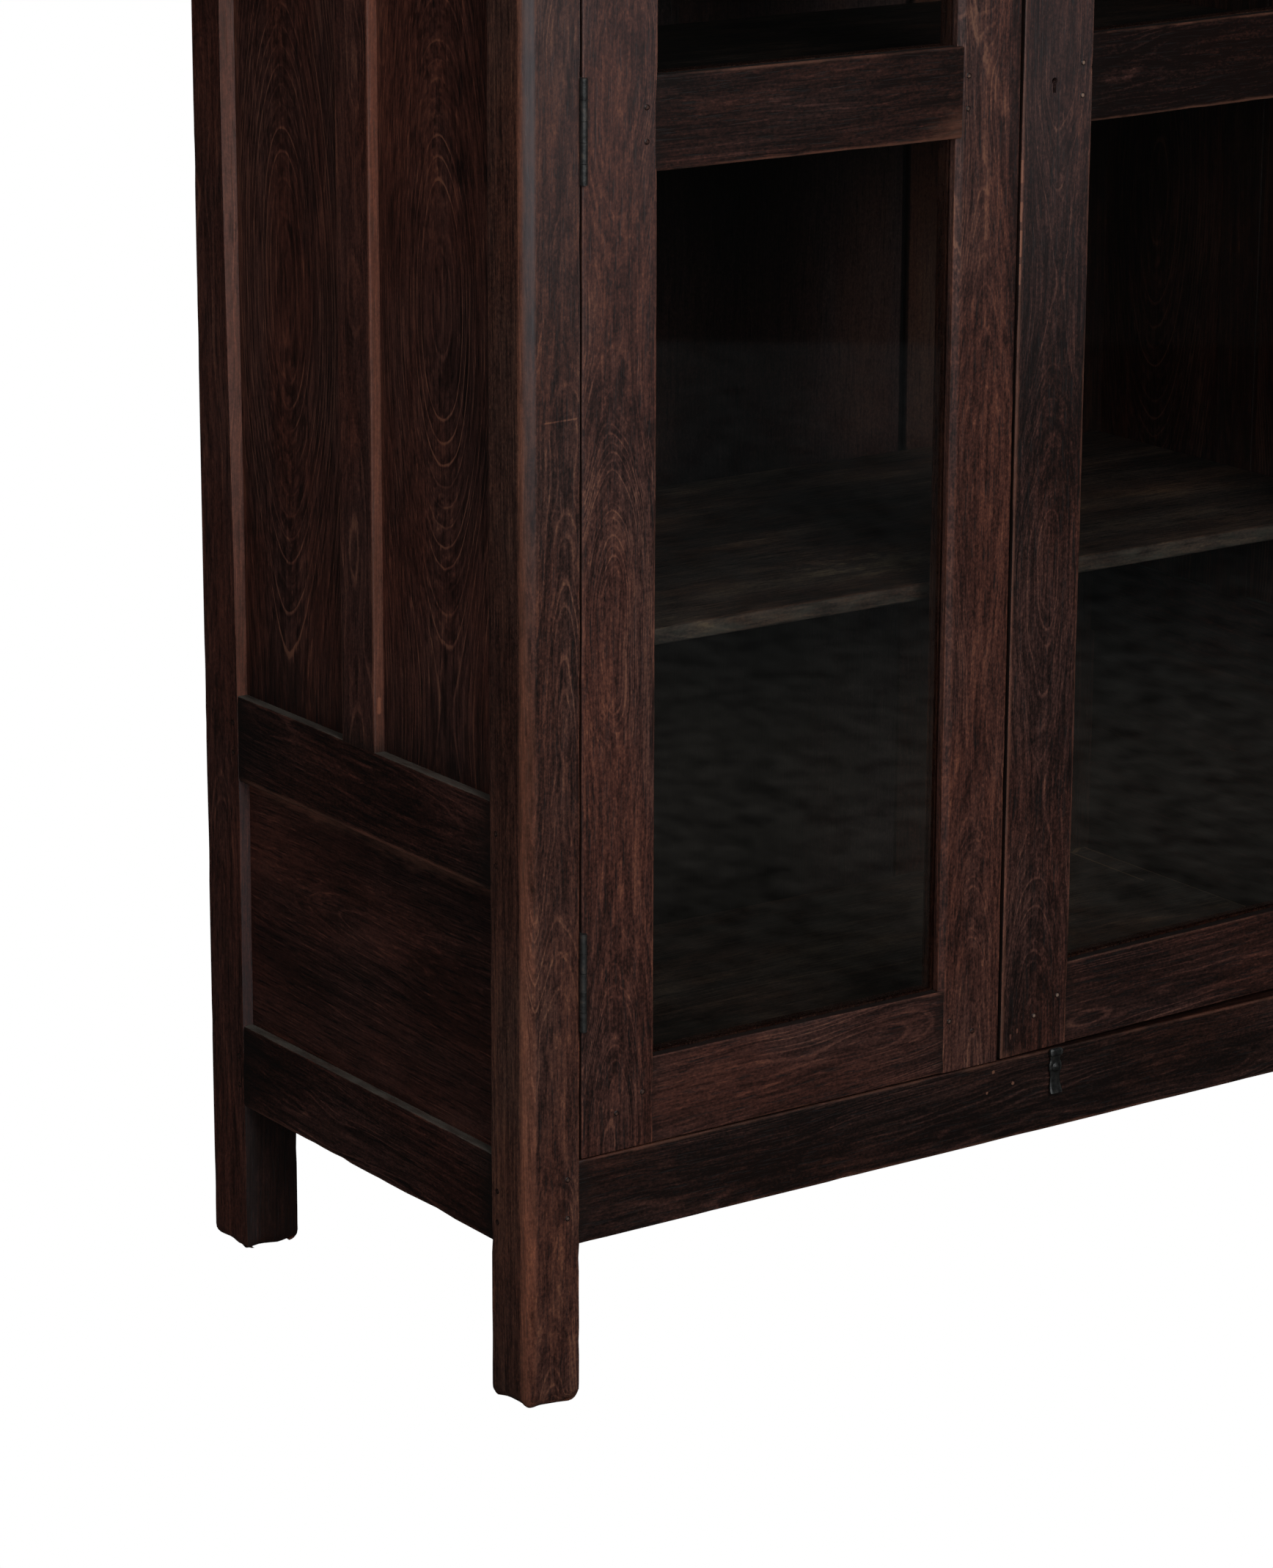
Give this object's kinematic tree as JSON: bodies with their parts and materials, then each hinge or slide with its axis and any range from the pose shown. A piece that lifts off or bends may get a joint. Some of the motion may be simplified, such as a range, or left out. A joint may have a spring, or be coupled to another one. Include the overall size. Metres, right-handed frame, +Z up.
{
  "type": "storage cabinet",
  "caption": "Tall free-standing storage cabinet in dark stained hardwood: framed and panelled sides, glazed doors on butt hinges, shelves inside, a turn button and a door lock.",
  "frame": {"origin": "centre of the footprint of the whole cabinet, on the floor", "axes": "+Z up, +X to the right as seen from the front, +Y from the front to the back"},
  "size_m": [0.904, 0.464, 1.78],
  "materials": {
    "frame_wood": "dark brown stained open-grain hardwood, waxed, worn lighter on the edges",
    "door_wood": "dark brown stained open-grain hardwood, a little paler and greyer than the sides",
    "panel_wood": "very dark brown flat panels with cathedral grain",
    "inside_wood": "dry unpolished dark boards",
    "peg_wood": "dark end grain",
    "glass": "clear window glass",
    "iron": "blackened wrought iron"
  },
  "bodies": {
    "carcass": {"back_board_left": "inside_wood", "back_board_middle": "inside_wood", "back_board_right": "inside_wood", "back_bottom_rail": "frame_wood", "back_post_left": "frame_wood", "back_post_right": "frame_wood", "back_top_rail": "frame_wood", "carcass_pegs": "peg_wood", "carcass_screws": "iron", "floor_board": "inside_wood", "front_base_rail": "frame_wood", "front_post_left": "frame_wood", "front_post_right": "frame_wood", "front_top_rail": "frame_wood", "hinge_post_leaves": "iron", "left_bottom_rail": "frame_wood", "left_lower_panel": "panel_wood", "left_middle_rail": "frame_wood", "left_muntin": "frame_wood", "left_shelf_cleats": "inside_wood", "left_top_rail": "frame_wood", "left_upper_panel_front": "panel_wood", "left_upper_panel_rear": "panel_wood", "lower_shelf": "inside_wood", "middle_shelf": "inside_wood", "right_bottom_rail": "frame_wood", "right_lower_panel": "panel_wood", "right_middle_rail": "frame_wood", "right_muntin": "frame_wood", "right_shelf_cleats": "inside_wood", "right_top_rail": "frame_wood", "right_upper_panel_front": "panel_wood", "right_upper_panel_rear": "panel_wood", "top_board": "frame_wood", "upper_shelf": "inside_wood"},
    "left_door": {"left_door_bottom_rail": "door_wood", "left_door_glazing_beads": "door_wood", "left_door_hinge_leaves": "iron", "left_door_hinge_screws": "iron", "left_door_hinge_stile": "door_wood", "left_door_lock_rail": "door_wood", "left_door_lower_glass": "glass", "left_door_meeting_stile": "door_wood", "left_door_pegs": "peg_wood", "left_door_top_rail": "door_wood", "left_door_upper_glass": "glass"},
    "right_door": {"right_door_bottom_rail": "door_wood", "right_door_glazing_beads": "door_wood", "right_door_hinge_leaves": "iron", "right_door_hinge_screws": "iron", "right_door_hinge_stile": "door_wood", "right_door_lock_case": "iron", "right_door_lock_rail": "door_wood", "right_door_lower_glass": "glass", "right_door_meeting_stile": "door_wood", "right_door_pegs": "peg_wood", "right_door_top_rail": "door_wood", "right_door_upper_glass": "glass"},
    "lock_bolt": {"lock_bolt": "iron"},
    "turn_button": {"turn_button": "iron"}
  },
  "joints": [
    {"name": "left_door_hinge", "type": "hinge", "parent": "carcass", "child": "left_door", "pos_m": [-0.3904, -0.221, 0.9378], "axis": [0, 0, -1], "range_deg": [0, 170]},
    {"name": "right_door_hinge", "type": "hinge", "parent": "carcass", "child": "right_door", "pos_m": [0.3904, -0.221, 0.9378], "axis": [0, 0, 1], "range_deg": [0, 170]},
    {"name": "lock_bolt_slide", "type": "slide", "parent": "right_door", "child": "lock_bolt", "axis": [-1, 0, 0], "range_m": [0, 0.01]},
    {"name": "turn_button_pivot", "type": "hinge", "parent": "carcass", "child": "turn_button", "pos_m": [0.055, -0.21975, 0.1724], "axis": [0, -1, 0], "range_deg": [0, 180]}
  ]
}
